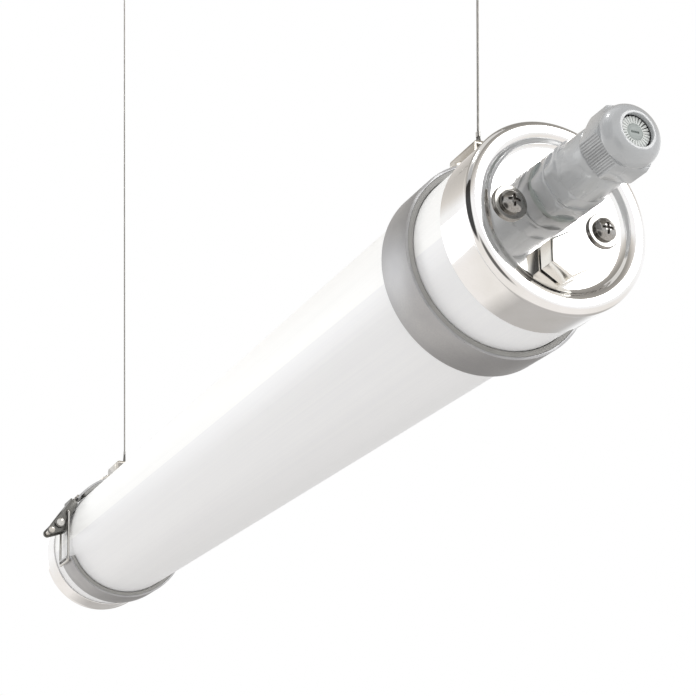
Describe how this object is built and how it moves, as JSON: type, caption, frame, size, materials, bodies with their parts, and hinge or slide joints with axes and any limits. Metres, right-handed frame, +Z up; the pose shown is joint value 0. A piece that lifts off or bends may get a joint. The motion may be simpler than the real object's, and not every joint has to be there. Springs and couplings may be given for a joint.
{
  "type": "suspended vapor tight tube light",
  "caption": "Round vapor tight tube light with polished end caps, a cable gland and latched clips, hung on wires.",
  "frame": {"origin": "on the ceiling, midway between the two ceiling fixings of the hanging wires", "axes": "+X along the tube towards the gland end, +Z up towards the ceiling, +Y the remaining level axis"},
  "size_m": [0.6829, 0.1112, 0.584],
  "materials": {
    "opal_tube": "smooth, white above and opal below",
    "polished_stainless": "mirror polished",
    "satin_stainless": "satin",
    "strap_steel": "matt rolled sheet",
    "latch_steel": "pressed, dull",
    "grey_rubber": "matt",
    "grey_nylon": "moulded, satin",
    "pale_rubber": "matt",
    "seal_rubber": "matt",
    "bright_screw": "polished",
    "wire_rope": "bright drawn wire",
    "tray_aluminium": "mill finish",
    "board_white": "white solder mask",
    "chip_phosphor": "phosphor gel",
    "case_white": "moulded",
    "lead_jacket": "smooth jacket"
  },
  "bodies": {
    "suspension": {"gland_end_ceiling_base": "satin_stainless", "gland_end_wire_holder": "satin_stainless", "gland_end_wire_ferrule": "satin_stainless", "gland_end_wire": "wire_rope", "gland_end_wire_crimp": "satin_stainless", "gland_end_wire_loop": "wire_rope", "gland_end_hanger": "satin_stainless", "gland_end_clip_rivets": "satin_stainless", "gland_end_clip_strap": "strap_steel", "gland_end_clip_liner": "grey_rubber", "gland_end_latch_base": "latch_steel", "gland_end_lever_pin": "bright_screw", "gland_end_guard_rivet": "satin_stainless", "blind_end_ceiling_base": "satin_stainless", "blind_end_wire_holder": "satin_stainless", "blind_end_wire_ferrule": "satin_stainless", "blind_end_wire": "wire_rope", "blind_end_wire_crimp": "satin_stainless", "blind_end_wire_loop": "wire_rope", "blind_end_hanger": "satin_stainless", "blind_end_clip_rivets": "satin_stainless", "blind_end_clip_strap": "strap_steel", "blind_end_clip_liner": "grey_rubber", "blind_end_latch_base": "latch_steel", "blind_end_lever_pin": "bright_screw", "blind_end_guard_rivet": "satin_stainless"},
    "lamp": {"tube": "opal_tube", "gland_end_cap": "polished_stainless", "blind_end_cap": "polished_stainless", "cap_screws": "bright_screw", "cap_washers": "satin_stainless", "gland_body": "grey_nylon", "gland_flat_seal": "seal_rubber", "vent_plug": "bright_screw", "vent_seal": "seal_rubber", "gear_tray": "tray_aluminium", "tray_lugs": "tray_aluminium", "tray_screws": "satin_stainless", "led_boards": "board_white", "led_chips": "chip_phosphor", "board_screws": "satin_stainless", "driver": "case_white", "terminal_block": "case_white", "mains_leads": "lead_jacket", "led_leads": "lead_jacket", "gland_locknut": "grey_nylon", "vent_nut": "satin_stainless", "gland_end_seal": "seal_rubber", "blind_end_seal": "seal_rubber"},
    "gland_end_lever": {"gland_end_latch_lever": "latch_steel"},
    "gland_end_bail": {"gland_end_latch_bail": "satin_stainless"},
    "blind_end_lever": {"blind_end_latch_lever": "latch_steel"},
    "blind_end_bail": {"blind_end_latch_bail": "satin_stainless"},
    "gland_insert": {"gland_seal": "pale_rubber", "dust_plug": "grey_rubber"},
    "gland_nut": {"gland_nut": "grey_nylon"}
  },
  "joints": [
    {"name": "lamp_roll", "type": "hinge", "parent": "suspension", "child": "lamp", "pos_m": [0, 0, -0.54], "axis": [1, 0, 0], "range_deg": [-90, 90]},
    {"name": "gland_end_lever_turn", "type": "hinge", "parent": "suspension", "child": "gland_end_lever", "pos_m": [0.259, 0.04733, -0.53356], "axis": [-1, 0, 0], "range_deg": [0, 150]},
    {"name": "gland_end_bail_swing", "type": "hinge", "parent": "gland_end_lever", "child": "gland_end_bail", "pos_m": [0.259, 0.04242, -0.52479], "axis": [-1, 0, 0], "range_deg": [-150, 0]},
    {"name": "blind_end_lever_turn", "type": "hinge", "parent": "suspension", "child": "blind_end_lever", "pos_m": [-0.259, -0.04733, -0.53356], "axis": [1, 0, 0], "range_deg": [0, 150]},
    {"name": "blind_end_bail_swing", "type": "hinge", "parent": "blind_end_lever", "child": "blind_end_bail", "pos_m": [-0.259, -0.04242, -0.52479], "axis": [1, 0, 0], "range_deg": [-150, 0]},
    {"name": "gland_insert_slide", "type": "slide", "parent": "lamp", "child": "gland_insert", "axis": [1, 0, 0], "range_m": [0, 0.003]},
    {"name": "gland_nut_turn", "type": "hinge", "parent": "gland_insert", "child": "gland_nut", "pos_m": [0.353, 0.00232, -0.52758], "axis": [1, 0, 0], "range_deg": [0, 720]}
  ],
  "couplings": [
    {"joint": "gland_end_bail_swing", "follows": "gland_end_lever_turn", "ratio": -1},
    {"joint": "blind_end_bail_swing", "follows": "blind_end_lever_turn", "ratio": -1},
    {"joint": "gland_insert_slide", "follows": "gland_nut_turn", "m_per_rad": 0.00023873}
  ]
}
